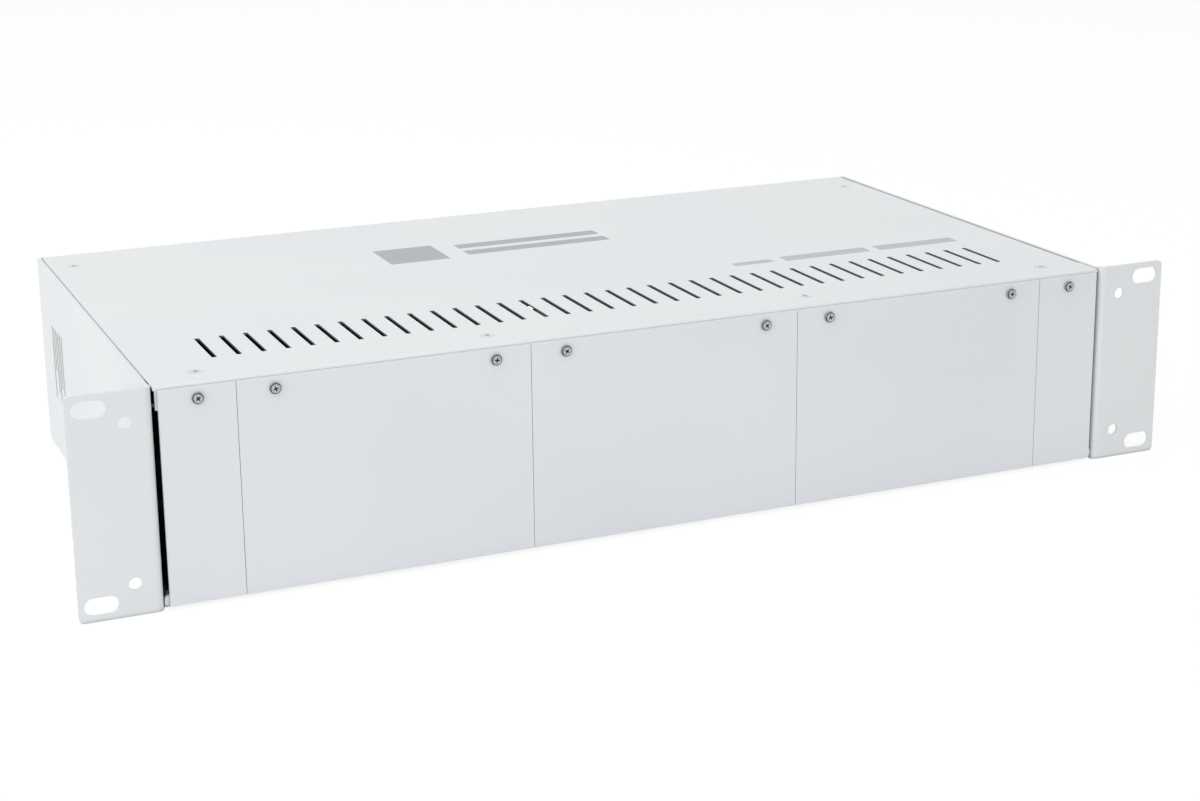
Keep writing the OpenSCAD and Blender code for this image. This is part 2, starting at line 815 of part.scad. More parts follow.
// Lid of the right module, with its vent slots
module module_lid(side) {
    x0 = module_x - module_w / 2;
    slits = 9;
    color("lightgray") on_side(side) difference() {
        block([x0, module_y0, module_top - case_t], [x0 + module_w, rear_y, module_top]);
        for (i = [1 : slits]) up(module_top - case_t - 1, module_top + 1)
            translate([x0 + i * module_w / (slits + 1), module_y0 + lid_slit_y + lid_slit_l / 2])
                round_rect([slit_w, lid_slit_l], slit_r);
    }
}

// Face plate of the right module
module module_face(side) {
    slits = 7;
    slit_top = module_top - slit_drop;
    slit_bottom = inlet_z + inlet_flange[1] / 2 + slit_gap;
    color("gainsboro") on_side(side) difference() {
        along_y(rear_y, rear_y + face_t) translate([(face_in + face_out) / 2, (floor_z + face_top) / 2])
            round_rect([face_out - face_in, face_top - floor_z], ear_corner_r);
        along_y(rear_y - 1, rear_y + face_t + 1) {
            translate([module_x + inlet_x, inlet_z])
                square([inlet_hole[0] + 2 * hole_play, inlet_hole[1] + 2 * hole_play], center = true);
            translate([module_x + switch_x, inlet_z])
                square([switch_hole[0] + 2 * hole_play, switch_hole[1] + 2 * hole_play], center = true);
            for (i = [-(slits - 1) / 2 : (slits - 1) / 2])
                translate([module_x + i * slit_pitch, (slit_top + slit_bottom) / 2])
                    round_rect([slit_w, slit_top - slit_bottom], slit_r);
        }
        for (s = [-1, 1]) rod_y(module_x + s * thumb_x, thumb_z, thumb_d / 2 + hole_play, rear_y - 1,
            rear_y + face_t + 1);
    }
}

module thumb_screws() {
    color("silver") both_sides() for (s = [-1, 1])
        translate([module_x + s * thumb_x, rear_y + face_t, thumb_z])
        rotate([-90, 0, 0]) difference() {
            union() {
                translate([0, 0, -face_t - rear_t - thread_run])
                    cylinder(d = thumb_d, h = face_t + rear_t + thread_run + 1);
                cylinder(d = thumb_head_d - thumb_neck, h = thumb_neck);
                translate([0, 0, thumb_neck]) cylinder(d = thumb_head_d, h = thumb_head_l - thumb_neck);
            }
            block([-thumb_head_d, -0.6, thumb_head_l - thumb_neck], [thumb_head_d, 0.6, thumb_head_l + 1]);
        }
}

module module_board(side) {
    color("darkgreen") on_side(side) {
        block([module_x - module_board_w / 2, module_board_y0, module_board_z],
            [module_x + module_board_w / 2, module_board_y0 + module_board_l, module_board_z + board_t]);
        for (sx = [-1, 1], y = [module_board_y0 + foot_edge, module_board_y0 + module_board_l - foot_edge])
            translate([module_x + sx * (module_board_w / 2 - foot_edge), y, floor_z + case_t])
                cylinder(d = standoff_d, h = module_board_z - floor_z - case_t);
    }
}

module transformer(side) {
    w = core_size[0] / 2;
    l = core_size[1] / 2;
    leg_h = core_size[2] - 2 * core_plate;
    color("goldenrod") on_side(side)
        translate([module_x, module_board_y0 + module_board_l / 2, module_board_z + board_t]) {
            for (z = [0, core_plate + leg_h]) block([-w, -l, z], [w, l, z + core_plate]);
            for (x = [-w, w - core_leg[0]])
                block([x, -core_leg[1] / 2, core_plate],
                    [x + core_leg[0], core_leg[1] / 2, core_plate + leg_h]);
            translate([0, 0, core_plate]) cylinder(r = coil_r, h = leg_h);
        }
}

module capacitors(side) {
    color("midnightblue") on_side(side) for (i = [0, 1])
        translate([module_x + cap_x, module_board_y0 + cap_y + i * cap_pitch, module_board_z + board_t])
            difference() {
            cylinder(d = cap_d, h = cap_l);
            rotate(45) cross_recess(cap_l, cap_d * 2 / 3, cap_neck / 2);
            translate([0, 0, 2 * cap_neck]) rotate_extrude() translate([cap_d / 2 + cap_neck / 2, 0])
                circle(cap_neck);
        }
}

module heatsink(side) {
    fins = 7;
    l = module_board_l - 2 * sink_edge;
    color("silver") on_side(side)
        translate([module_x + sink_x, module_board_y0 + sink_edge, module_board_z + board_t]) {
            block([0, 0, 0], [sink_t, l, sink_h]);
            for (i = [0 : fins - 1]) translate([sink_t, i * (l - fin_t) / (fins - 1), 0])
                block([0, 0, 0], [fin_l, fin_t, sink_h]);
        }
}

// The block on a module that enters the cage's socket
module module_plug(side) {
    w = socket_size[0] / 2 - socket_wall - socket_play;
    h = socket_size[2] / 2 - socket_wall - socket_play;
    rim = 2 * socket_wall;
    inner = module_y0 + case_t;
    color("ivory") on_side(side) translate([module_x, 0, socket_z]) {
        block([-w, socket_back - socket_lead, -h], [w, inner, h]);
        block([-w - rim, inner, -h - rim], [w + rim, inner + socket_wall, h + rim]);
    }
}

// A rectangle whose upper corners are cut, as an appliance inlet has it
module inlet_outline(size, cut) {
    w = size[0] / 2;
    h = size[1] / 2;
    polygon([[-w, -h], [w, -h], [w, h - cut], [w - cut, h], [-w + cut, h], [-w, h - cut]]);
}

module inlet(side) {
    pins = [[-pin_step, -pin_rise], [0, pin_rise], [pin_step, -pin_rise]];
    color("black") on_side(side) translate([module_x + inlet_x, rear_y + face_t, inlet_z]) difference() {
        union() {
            along_y(0, inlet_flange[2]) round_rect([inlet_flange[0], inlet_flange[1]], inlet_corner_r);
            along_y(-inlet_depth, 0) square(inlet_hole, center = true);
            for (x = [-pin_step, 0, pin_step])
                block([x - tab_size[0] / 2, -inlet_depth - tab_size[1], -tab_size[2] / 2],
                [x + tab_size[0] / 2, -inlet_depth, tab_size[2] / 2]);
        }
        difference() {
            along_y(inlet_flange[2] - inlet_well, inlet_flange[2] + 1)
                inlet_outline(inlet_mouth, mouth_cut);
            for (p = pins) block([p[0] - pin_w / 2, inlet_flange[2] - inlet_well - 1, p[1] - pin_h / 2],
                [p[0] + pin_w / 2, inlet_flange[2] - pin_sink, p[1] + pin_h / 2]);
        }
    }
}

// Shell of the right module's switch, with the well that the rocker turns in
module switch_body(side) {
    color("black") on_side(side) translate([module_x + switch_x, rear_y + face_t, inlet_z]) difference() {
        union() {
            along_y(0, switch_flange[2]) round_rect([switch_flange[0], switch_flange[1]], 1.5);
            along_y(-switch_depth, 0) square(switch_hole, center = true);
            for (z = [-5, 0, 5]) block([-2.4, -switch_depth - 7, z - 0.4], [2.4, -switch_depth, z + 0.4]);
        }
        block([-rocker_w / 2 - 0.3, -switch_depth + 2, -rocker_r - rocker_gap],
            [rocker_w / 2 + 0.3, switch_flange[2] + 1, rocker_r + rocker_gap]);
        translate([-switch_hole[0], 0, 0]) rotate([0, 90, 0])
            cylinder(r = pivot_r + pivot_play, h = 2 * switch_hole[0]);
    }
}

// Side view of the rocker: a shallow V on top, ends round about the pivot
module rocker_profile() {
    half = rocker_throw / 2;
    intersection() {
        circle(rocker_r);
        union() {
            rotate(half) translate([-2, -rocker_r]) square([switch_flange[2] + 2.6, rocker_r]);
            rotate(-half) translate([-2, 0]) square([switch_flange[2] + 2.6, rocker_r]);
            circle(2);
        }
    }
}

module rocker(side) {
    pin_l = (switch_hole[0] - rocker_w) / 2 - 0.1;
    color("firebrick") on_side(side) translate([module_x + switch_x, rear_y + face_t, inlet_z])
        rotate([rocker_throw / 2, 0, 0]) {
            along_x(-rocker_w / 2, rocker_w / 2) rocker_profile();
            translate([-rocker_w / 2 - pin_l, 0, 0]) rotate([0, 90, 0])
                cylinder(r = pivot_r, h = rocker_w + 2 * pin_l);
        }
}

module rear_panel() {
    flange_x = under_cover_x;
    mid_x = face_in - 2;
    fold = rear_t + guide_fold_r;
    top_flange = rear_screw_back + screw_land;
    color("whitesmoke") difference() {
        union() {
            block([-inner_x, rear_y - rear_t, floor_z + fold], [inner_x, rear_y, cover_flange_bottom]);
            block([-flange_x, rear_y - rear_t, cover_flange_bottom - 1], [flange_x, rear_y, roof_z - fold]);
            translate([0, rear_y, roof_z]) mirror([0, 0, 1]) mirror([0, 1, 0]) along_x(-flange_x, flange_x)
                folded_edge(top_flange, fold, rear_t, guide_fold_r);
            translate([0, rear_y, floor_z]) mirror([0, 1, 0]) along_x(-mid_x, mid_x)
                folded_edge(rear_flange, fold, rear_t, guide_fold_r);
            both_sides() block([inner_x - rear_t, rear_y - rear_flange, floor_z + fold],
                [inner_x, rear_y, cover_flange_bottom - 1]);
        }
        both_sides() {
            block([module_x - module_w / 2 - module_play, rear_y - rear_t - 1, floor_z - 1],
                [module_x + module_w / 2 + module_play, rear_y + 1, module_top + module_play]);
            for (s = [-1, 1]) rod_y(module_x + s * thumb_x, thumb_z, thumb_d / 2 + tap_play,
                rear_y - rear_t - 1, rear_y + 1);
            rod_y(fan_x, fan_z, fan_bore_r - 0.5, rear_y - rear_t - 1, rear_y + 1);
            for (sx = [-1, 1], sz = [-1, 1])
                rod_y(fan_x + sx * fan_screw_span / 2, fan_z + sz * fan_screw_span / 2,
                    fan_screw_d / 2 + hole_play, rear_y - rear_t - 1, rear_y + 1);
            translate([rear_screw_x, rear_screw_y, roof_z - rear_t - 1])
                cylinder(d = cover_screw_d + 2 * tap_play, h = rear_t + 2);
        }
        rod_y(0, stud_z, stud_d / 2 + tap_play, rear_y - rear_t - 1, rear_y + 1);
    }
}

// The four screw places of a fan about its axis
module at_fan_corners() {
    for (sx = [-1, 1], sz = [-1, 1])
        translate([sx * fan_screw_span / 2, 0, sz * fan_screw_span / 2]) children();
}

module fan_frame(side) {
    color("dimgray") on_side(side) translate([fan_x, 0, fan_z]) difference() {
        union() {
            along_y(fan_front, fan_back) difference() {
                circle(fan_size / 2);
                circle(fan_bore_r);
            }
            for (y = [fan_front, fan_back - fan_flange_t]) along_y(y, y + fan_flange_t) difference() {
                round_rect([fan_size, fan_size], fan_corner_r);
                circle(fan_bore_r);
            }
            along_y(fan_back - motor_base_t, fan_back) {
                circle(motor_base_r);
                for (turn = [0 : 90 : 270]) rotate(turn + 15) translate([motor_base_r - 2, -1.5])
                    square([fan_bore_r - motor_base_r + 2.8, 3]);
            }
            rod_y(0, 0, tube_r, fan_front + 5, fan_back);
        }
        rod_y(0, 0, shaft_r + shaft_play, fan_front, fan_back - 1);
        at_fan_corners() rod_y(0, 0, fan_screw_d / 2 + hole_play, fan_front - 1, fan_back + 1);
    }
}

module fan_stators() {
    y0 = fan_front + stator_front;
    y1 = fan_back - motor_base_t;
    color("peru") both_sides() translate([fan_x, 0, fan_z]) along_y(y0, y1) difference() {
        union() {
            circle(tube_r + stator_wall);
            for (turn = [0 : 90 : 270]) rotate(turn) translate([0, -stator_arm[1] / 2]) square(stator_arm);
        }
        circle(tube_r);
    }
}

// One blade: a slanted plate between the hub and the tips
module fan_blade() {
    reach = fan_bore_r - tip_gap;
    span = fan_depth - motor_base_t - 2 * rotor_gap - 3;
    intersection() {
        translate([hub_r - 0.5, 0, 0]) rotate([blade_pitch, 0, 0])
            block([0, -span, -blade_t / 2], [reach, span, blade_t / 2]);
        rod_y(0, 0, reach, -span / 2, span / 2);
    }
}

module fan_rotor(side) {
    y0 = fan_front + rotor_gap;
    y1 = fan_back - motor_base_t - rotor_gap;
    color("black") on_side(side) translate([fan_x, 0, fan_z]) {
        difference() {
            rod_y(0, 0, hub_r, y0, y1);
            rod_y(0, 0, hub_r - hub_wall, y0 + 2, y1 + 1);
        }
        rod_y(0, 0, shaft_r, y0 + 1, y1 - 1);
        for (i = [0 : blade_count - 1]) rotate([0, i * 360 / blade_count, 0])
            translate([0, (y0 + y1) / 2, 0]) fan_blade();
    }
}

// Finger guard: rings on a cross of wires, with an eye at each screw
module fan_guard(side) {
    r = guard_wire_d / 2;
    reach = fan_screw_span / sqrt(2);
    eye_r = fan_screw_d / 2 + r + hole_play;
    color("silver") on_side(side) translate([fan_x, rear_y + r, fan_z]) rotate([-90, 0, 0]) {
        for (turn = [45, 135]) rotate(turn)
            for (s = [-1, 1]) translate([s * reach, 0, 0]) rotate_extrude() translate([eye_r, 0])
                circle(r, $fn = 24);
        for (turn = [45, 135]) rotate([0, 90, turn])
            cylinder(r = r, h = 2 * (reach - eye_r), center = true, $fn = 24);
        for (i = [1 : guard_rings]) translate([0, 0, r * 1.5]) rotate_extrude()
            translate([i * (fan_bore_r - guard_margin) / guard_rings, 0]) circle(r, $fn = 24);
    }
}

module fan_screws() {
    color("silver") both_sides() translate([fan_x, rear_y + guard_wire_d, fan_z]) at_fan_corners()
        rotate([-90, 0, 0]) pan_screw(fan_screw_d, fan_head_d, fan_head_h,
            guard_wire_d + rear_t + fan_depth + fan_screw_over);
}

module fan_nuts() {
    color("silver") both_sides() translate([fan_x, fan_front, fan_z]) at_fan_corners()
        rotate([90, 0, 0]) difference() {
            cylinder(d = hex_d, h = hex_h, $fn = 6);
            translate([0, 0, -1]) cylinder(d = fan_screw_d + 2 * tap_play, h = hex_h + 2);
        }
}

module ground_stud() {
    color("gold") translate([0, rear_y, stud_z]) {
        rod_y(0, 0, stud_d / 2, -rear_t - stud_head_l, stud_l);
        rod_y(0, 0, stud_head_d / 2, -rear_t - stud_head_l, -rear_t);
    }
    color("silver") translate([0, rear_y, stud_z]) for (i = [0, 1])
        rotate([-90, 0, 0]) translate([0, 0, i * (washer_t + hex_h + hole_play)]) difference() {
            union() {
                cylinder(d = washer_d, h = washer_t);
                translate([0, 0, washer_t]) cylinder(d = hex_d, h = hex_h, $fn = 6);
            }
            translate([0, 0, -1]) cylinder(d = stud_d + 2 * tap_play, h = washer_t + hex_h + 2);
        }
}

chassis_base();
top_cover();
rear_panel();
blank_plate(0);  // left_narrow_blank
blank_plate(1);  // left_blank
blank_plate(2);  // middle_blank
blank_plate(3);  // right_blank
blank_plate(4);  // right_narrow_blank
blank_screws();
clinch_nuts();
cover_screws();
lower_guide();
upper_guide();
power_bracket();
bracket_screws();
power_board();
board_standoffs();
board_screws();
power_plugs();
module_sockets();
module_rail(-1);  // left_module_rail
module_rail(1);  // right_module_rail
module_case(-1);  // left_module_case
module_case(1);  // right_module_case
module_lid(-1);  // left_module_lid
module_lid(1);  // right_module_lid
module_face(-1);  // left_module_face
module_face(1);  // right_module_face
module_board(-1);  // left_module_board
module_board(1);  // right_module_board
transformer(-1);  // left_transformer
transformer(1);  // right_transformer
capacitors(-1);  // left_capacitors
capacitors(1);  // right_capacitors
heatsink(-1);  // left_heatsink
heatsink(1);  // right_heatsink
module_plug(-1);  // left_module_plug
module_plug(1);  // right_module_plug
inlet(-1);  // left_inlet
inlet(1);  // right_inlet
switch_body(-1);  // left_switch_body
switch_body(1);  // right_switch_body
rocker(-1);  // left_rocker
rocker(1);  // right_rocker
thumb_screws();
fan_frame(-1);  // left_fan_frame
fan_frame(1);  // right_fan_frame
fan_rotor(-1);  // left_fan_rotor
fan_rotor(1);  // right_fan_rotor
fan_stators();
fan_guard(-1);  // left_fan_guard
fan_guard(1);  // right_fan_guard
fan_screws();
fan_nuts();
ground_stud();
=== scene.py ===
# %% [markdown]
# # Dressing a subrack card cage
# The cage is a two-unit, 19-inch chassis folded from white steel sheet. Its solids come
# from the CAD model, which stays as it is. This lesson gives every solid a finish that such
# a piece has, and adds the small things that the sheet metal carries: screw heads, printed
# fields, a label. The camera comes first, and the floor and the light come last.

# %% Load the fixed frame
import math

import bmesh
import bpy
from mathutils import Matrix, Vector


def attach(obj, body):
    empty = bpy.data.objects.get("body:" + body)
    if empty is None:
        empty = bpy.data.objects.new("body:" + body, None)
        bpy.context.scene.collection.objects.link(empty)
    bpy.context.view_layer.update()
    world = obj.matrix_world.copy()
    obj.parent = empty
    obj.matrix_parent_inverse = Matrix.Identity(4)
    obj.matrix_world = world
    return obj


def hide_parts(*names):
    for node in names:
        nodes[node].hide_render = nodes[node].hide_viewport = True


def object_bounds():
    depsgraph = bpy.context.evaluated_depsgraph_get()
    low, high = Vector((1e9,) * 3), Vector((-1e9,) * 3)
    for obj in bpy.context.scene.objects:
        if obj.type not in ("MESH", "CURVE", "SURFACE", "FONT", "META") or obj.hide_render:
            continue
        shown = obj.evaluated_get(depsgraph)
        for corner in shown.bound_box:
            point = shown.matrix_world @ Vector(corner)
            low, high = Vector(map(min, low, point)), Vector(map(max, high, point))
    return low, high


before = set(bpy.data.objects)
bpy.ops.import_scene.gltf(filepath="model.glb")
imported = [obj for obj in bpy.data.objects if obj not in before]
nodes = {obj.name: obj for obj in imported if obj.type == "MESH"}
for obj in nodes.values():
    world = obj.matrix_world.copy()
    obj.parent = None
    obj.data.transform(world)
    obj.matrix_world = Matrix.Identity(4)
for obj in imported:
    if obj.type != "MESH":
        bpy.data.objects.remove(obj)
cad_low, cad_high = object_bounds()

# %% [markdown]
# Lengths are in metres here, and a maker thinks in millimetres, so `mm` turns one into the
# other. Loading the model leaves every CAD node selected, and an operator acts on all that
# is selected, so the selection is cleared before anything is made.

# %% Units and selection
mm = 0.001


def use(*pieces):
    """Selects only these pieces and makes the first one active."""
    bpy.ops.object.select_all(action="DESELECT")
    for piece in pieces:
        piece.select_set(True)
    bpy.context.view_layer.objects.active = pieces[0]


def reach(node, axis):
    """The lowest and the highest coordinate of a node along an axis (0, 1 or 2)."""
    places = [(node.matrix_world @ v.co)[axis] for v in node.data.vertices]
    return min(places), max(places)


bpy.ops.object.select_all(action="DESELECT")
print("one millimetre is", mm, "scene units")

# %% [markdown]
# ## Camera
# The cage is seen from its left, a little from above, with a long lens. A heading, a tilt
# and a small roll say where the camera looks, which is easier to read than a matrix.
# The lens axis doesn't meet the middle of the frame, so two small shifts put it right.

# %% Camera
CAMERA_PLACE = Vector((-0.37067, -0.79063, 0.28001))
HEADING = math.radians(22.94)
TILT = math.radians(-14.76)
ROLL = math.radians(-0.73)


def aimed(heading, tilt, roll):
    """The turn of a camera that looks along heading (from +Y to +X) and tilt (up is plus)."""
    turn = Matrix.Rotation(-heading, 4, "Z") @ Matrix.Rotation(math.pi / 2 + tilt, 4, "X")
    return turn @ Matrix.Rotation(roll, 4, "Z")


lens = bpy.data.cameras.new("view")
lens.sensor_width = 36.0
lens.lens = 67.43
lens.shift_x = 0.0139
lens.shift_y = -0.0773
lens.clip_start = 0.02
camera = bpy.data.objects.new("view", lens)
bpy.context.scene.collection.objects.link(camera)
camera.matrix_world = Matrix.Translation(CAMERA_PLACE) @ aimed(HEADING, TILT, ROLL)
bpy.context.scene.camera = camera
print("camera stands", round(CAMERA_PLACE.length, 3), "m from the origin")

# %% [markdown]
# ## Building a material
# A material is a small graph of nodes. One function adds a node with its settings and its
# links, and every finish below is written with it. Colours are given as sRGB hex, as a
# paint chart gives them, and one function turns them to the linear values that light needs.

# %% Helpers for materials


def paint(code):
    """A linear RGBA colour from an sRGB hex value."""
    parts = [int(code[i : i + 2], 16) / 255 for i in (1, 3, 5)]
    return tuple(c / 12.92 if c <= 0.04045 else ((c + 0.055) / 1.055) ** 2.4 for c in parts) + (1.0,)


def add(tree, kind, values=None, **settings):
    """Adds a node. Each entry of values links a socket to an input, or sets the input."""
    node = tree.nodes.new("ShaderNode" + kind)
    for name, value in settings.items():
        setattr(node, name, value)
    for name, value in (values or {}).items():
        if isinstance(value, bpy.types.NodeSocket):
            tree.links.new(value, node.inputs[name])
        else:
            node.inputs[name].default_value = value
    return node


def new_finish(name, **surface):
    """A material with one shader, its plain values set. Returns material, tree and shader."""
    material = bpy.data.materials.new(name)
    material.use_nodes = True
    tree = material.node_tree
    shader = tree.nodes["Principled BSDF"]
    for socket, value in surface.items():
        shader.inputs[socket.replace("_", " ")].default_value = value
    return material, tree, shader


def grain(tree, size, detail=2.0, stretch=(1, 1, 1)):
    """Noise whose bumps are about `size` metres across, on the piece's own coordinates."""
    place = add(tree, "TexCoord")
    scaled = add(tree, "Mapping", {"Vector": place.outputs["Object"], "Scale": stretch})
    return add(tree, "TexNoise", {"Vector": scaled.outputs["Vector"], "Scale": 1 / size, "Detail": detail})


def blend_colours(tree, factor, first, second):
    """A colour between two, each a hex value or a socket, steered by a factor socket."""
    mix = add(tree, "Mix", data_type="RGBA")
    tree.links.new(factor, mix.inputs[0])
    for index, colour in ((6, first), (7, second)):
        if isinstance(colour, str):
            mix.inputs[index].default_value = paint(colour)
        else:
            tree.links.new(colour, mix.inputs[index])
    return mix.outputs[2]


def spread(tree, factor, low, high):
    """Maps a noise socket (0.3 to 0.7 in practice) onto low to high."""
    limits = {"From Min": 0.3, "From Max": 0.7, "To Min": low, "To Max": high}
    return add(tree, "MapRange", {"Value": factor, **limits}).outputs["Result"]


def mottled(tree, shader, texture, first, second):
    """Lets a noise node move the base colour between two hex values."""
    tone = blend_colours(tree, spread(tree, texture.outputs["Fac"], 0, 1), first, second)
    tree.links.new(tone, shader.inputs["Base Color"])
    return tone


def bump(tree, shader, height, depth, strength=1.0):
    """Feeds a height socket into the shader as relief of `depth` metres."""
    relief = add(tree, "Bump", {"Height": height, "Distance": depth, "Strength": strength})
    tree.links.new(relief.outputs["Normal"], shader.inputs["Normal"])


def seen_directly(tree):
    """1 for camera, glossy and transmission rays, which show a surface, and 0 for the rest."""
    rays = add(tree, "LightPath")
    seen = rays.outputs["Is Camera Ray"]
    for kind in ("Is Glossy Ray", "Is Transmission Ray"):
        seen = add(tree, "Math", {0: seen, 1: rays.outputs[kind]}, operation="MAXIMUM").outputs[0]
    return seen


print("material helpers are ready")

# %% [markdown]
# ## Powder coat
# The sheet is powder coated: dry paint is sprayed on and baked, and it flows into a skin
# with a very fine orange peel. The eye reads it as an even, satin, slightly cool white.
# The peel of such a coat is about 0.8 mm across. It barely shows from a step away, so it
# is kept shallow, and a broad, faint change of tone keeps the large faces from looking flat.
# Shade is painted into the creases: an ambient-occlusion node tells how far a point is
# shut in by surfaces within 2 mm, and there the colour goes over to a light grey. That
# painted shade draws the thin line along the front edge of the cover.

# %% Powder-coated steel
PEEL = 0.8 * mm
CREASE = 2 * mm
CREASE_SHADE_GREY = "#BFC4C7"


def powder_coat(name, light, shade):
    """Satin powder coat: a broad drift between two whites, orange peel and painted crease shade."""
    material, tree, shader = new_finish(name, Roughness=0.42, IOR=1.5)
    tone = mottled(tree, shader, grain(tree, 90 * mm, detail=1.0), light, shade)
    # Painted shade: the AO node draws the base colour towards a grey in creases.
    shelter = add(tree, "AmbientOcclusion", {"Distance": CREASE}, samples=8)
    limits = {"From Min": 0.45, "From Max": 0.9}
    unshaded = add(tree, "MapRange", {"Value": shelter.outputs["AO"], **limits}).outputs["Result"]
    tree.links.new(blend_colours(tree, unshaded, CREASE_SHADE_GREY, tone), shader.inputs["Base Color"])
    peel = grain(tree, PEEL)
    tree.links.new(spread(tree, peel.outputs["Fac"], 0.38, 0.47), shader.inputs["Roughness"])
    bump(tree, shader, peel.outputs["Fac"], 0.02 * mm, 0.6)
    return material


coat_body = powder_coat("powder-coated steel, body", "#ECF0F1", "#E9EDEF")
coat_front = powder_coat("powder-coated steel, blanks", "#ECEFF3", "#E8ECF0")
coat_screw = powder_coat("powder-coated screw", "#E9EDEE", "#E4E8EA")
print("powder coats:", coat_body.name, "/", coat_front.name)

# %% [markdown]
# ## The cover and its vents
# The row of vents is punched through the cover. Their walls get painted shade, a darker
# grey than the top, so that the slots read as dark lines. The painted shade takes every
# face that doesn't look up and lies in the strip that holds the vents. That also takes in
# the underside and the side flanges of the strip, which hardly show. The strip is read off
# the cover's own mesh: less than 180 mm from its middle, between Y 20 and 100 mm, only the
# vents have corners.

# %% Cover finish
cover_top = reach(nodes["top_cover"], 2)[1]
VENTS_BETWEEN = (20 * mm, 100 * mm)
VENTS_WITHIN = 180 * mm
cover_points = [nodes["top_cover"].matrix_world @ v.co for v in nodes["top_cover"].data.vertices]
inner_ys = [p.y for p in cover_points if abs(p.x) < VENTS_WITHIN]
vent_ys = [y for y in inner_ys if VENTS_BETWEEN[0] < y < VENTS_BETWEEN[1]]
vent_strip = (min(vent_ys), max(vent_ys))


def cover_coat(name, light, shade, vent_wall_shade):
    """The powder coat with painted shade, a darker grey, on the cut walls of the vents."""
    material = powder_coat(name, light, shade)
    tree = material.node_tree
    shader = next(node for node in tree.nodes if node.type == "BSDF_PRINCIPLED")
    coat = shader.inputs["Base Color"].links[0].from_socket
    facing = add(tree, "SeparateXYZ", {"Vector": add(tree, "NewGeometry").outputs["Normal"]})
    place = add(tree, "SeparateXYZ", {"Vector": add(tree, "TexCoord").outputs["Object"]})
    tests = (
        (facing.outputs["Z"], "LESS_THAN", 0.5),
        (place.outputs["Y"], "GREATER_THAN", vent_strip[0] - mm),
        (place.outputs["Y"], "LESS_THAN", vent_strip[1] + mm),
    )
    in_vent_shade = 1.0
    for value, comparison, limit in tests:
        passed = add(tree, "Math", {0: value, 1: limit}, operation=comparison)
        both = add(tree, "Math", {0: passed.outputs[0], 1: in_vent_shade}, operation="MULTIPLY")
        in_vent_shade = both.outputs[0]
    # Painted shade: faces in the vent strip that don't look up get the dark grey.
    tree.links.new(blend_colours(tree, in_vent_shade, coat, vent_wall_shade), shader.inputs["Base Color"])
    return material


coat_cover = cover_coat("powder-coated steel, cover", "#ECF0F1", "#E9EDEF", "#7E8285")
print("vents lie between Y", round(vent_strip[0] / mm, 1), "and", round(vent_strip[1] / mm, 1), "mm")

# %% [markdown]
# ## Plated steel and brass
# The sheets inside are dipped in zinc, which shows spangles: flat crystals a few
# millimetres across, each a little lighter or darker than the next. A Voronoi texture cuts
# space into such cells, and its random cell colour gives each crystal its own tone and
# gloss. Both greys lie well below bare zinc: partly the metal's own grey, partly painted
# shade that keeps the inside of the cage dark. The blank screws are nickel plated, the
# other bare screws, their nuts and the fan guards are zinc plated, and the standoffs and
# the earthing stud are brass. They are too small for spangles and have only a faint mottle.

# %% Plated steel and brass
SPANGLE = 5 * mm


def spangled_zinc(name):
    """Hot-dip zinc: crystals that differ in tone and gloss, darkened by painted shade."""
    material, tree, shader = new_finish(name, Metallic=1.0, Roughness=0.4)
    place = add(tree, "TexCoord")
    cells = add(tree, "TexVoronoi", {"Vector": place.outputs["Object"], "Scale": 1 / SPANGLE})
    tone = add(tree, "SeparateColor", {"Color": cells.outputs["Color"]})
    # Painted shade: both greys lie below bare zinc, so the inside of the cage stays dark.
    colour = blend_colours(tree, tone.outputs["Red"], "#787C80", "#8F9397")
    tree.links.new(colour, shader.inputs["Base Color"])
    gloss = add(tree, "MapRange", {"Value": tone.outputs["Green"], "To Min": 0.3, "To Max": 0.48})
    tree.links.new(gloss.outputs["Result"], shader.inputs["Roughness"])
    return material


def plated_steel(name, light, dark, roughness):
    """A plated or turned metal with a faint mottle between two tones."""
    material, tree, shader = new_finish(name, Metallic=1.0, Roughness=roughness)
    mottled(tree, shader, grain(tree, 1.2 * mm), light, dark)
    return material


zinc_sheet_shaded = spangled_zinc("zinc-plated sheet, spangled")
zinc_bright = plated_steel("zinc-plated steel, bright", "#C9CDD1", "#B4B8BC", 0.28)
# Painted reflection: a dark grey on the rounded screw edge for the dark room it mirrors.
nickel_dark_reflection = plated_steel("nickel-plated steel, painted dark reflection", "#5A5E61", "#45494C", 0.35)
nickel_face = plated_steel("nickel-plated steel, bright face", "#C4C8CA", "#AEB2B5", 0.35)
brass = plated_steel("brass, turned", "#C9A75A", "#B5924A", 0.3)
print("metals:", zinc_sheet_shaded.name, "/", zinc_bright.name, "/", nickel_dark_reflection.name, "/", brass.name)

# %% [markdown]
# ## Plastics, boards and windings
# Moulded plastic copies its tool, so it has one colour with a very fine texture, which
# moves its tone, gloss and relief a little. A circuit board is glass cloth under a green
# lacquer: the cloth's weave, about half a millimetre, shows faintly through. Copper
# windings are round wires side by side, so a wave pattern gives them their ribs, and the
# same wave paints shade into the grooves between the wires and a highlight on their
# crowns. One wave takes a tenth of pi of the scaled coordinate, so the ribs lie about two
# radii apart.

# %% Plastics, boards, windings
TOOL_TEXTURE = 0.5 * mm
CLOTH_WEAVE = 0.5 * mm
WIRE_R = 0.4 * mm


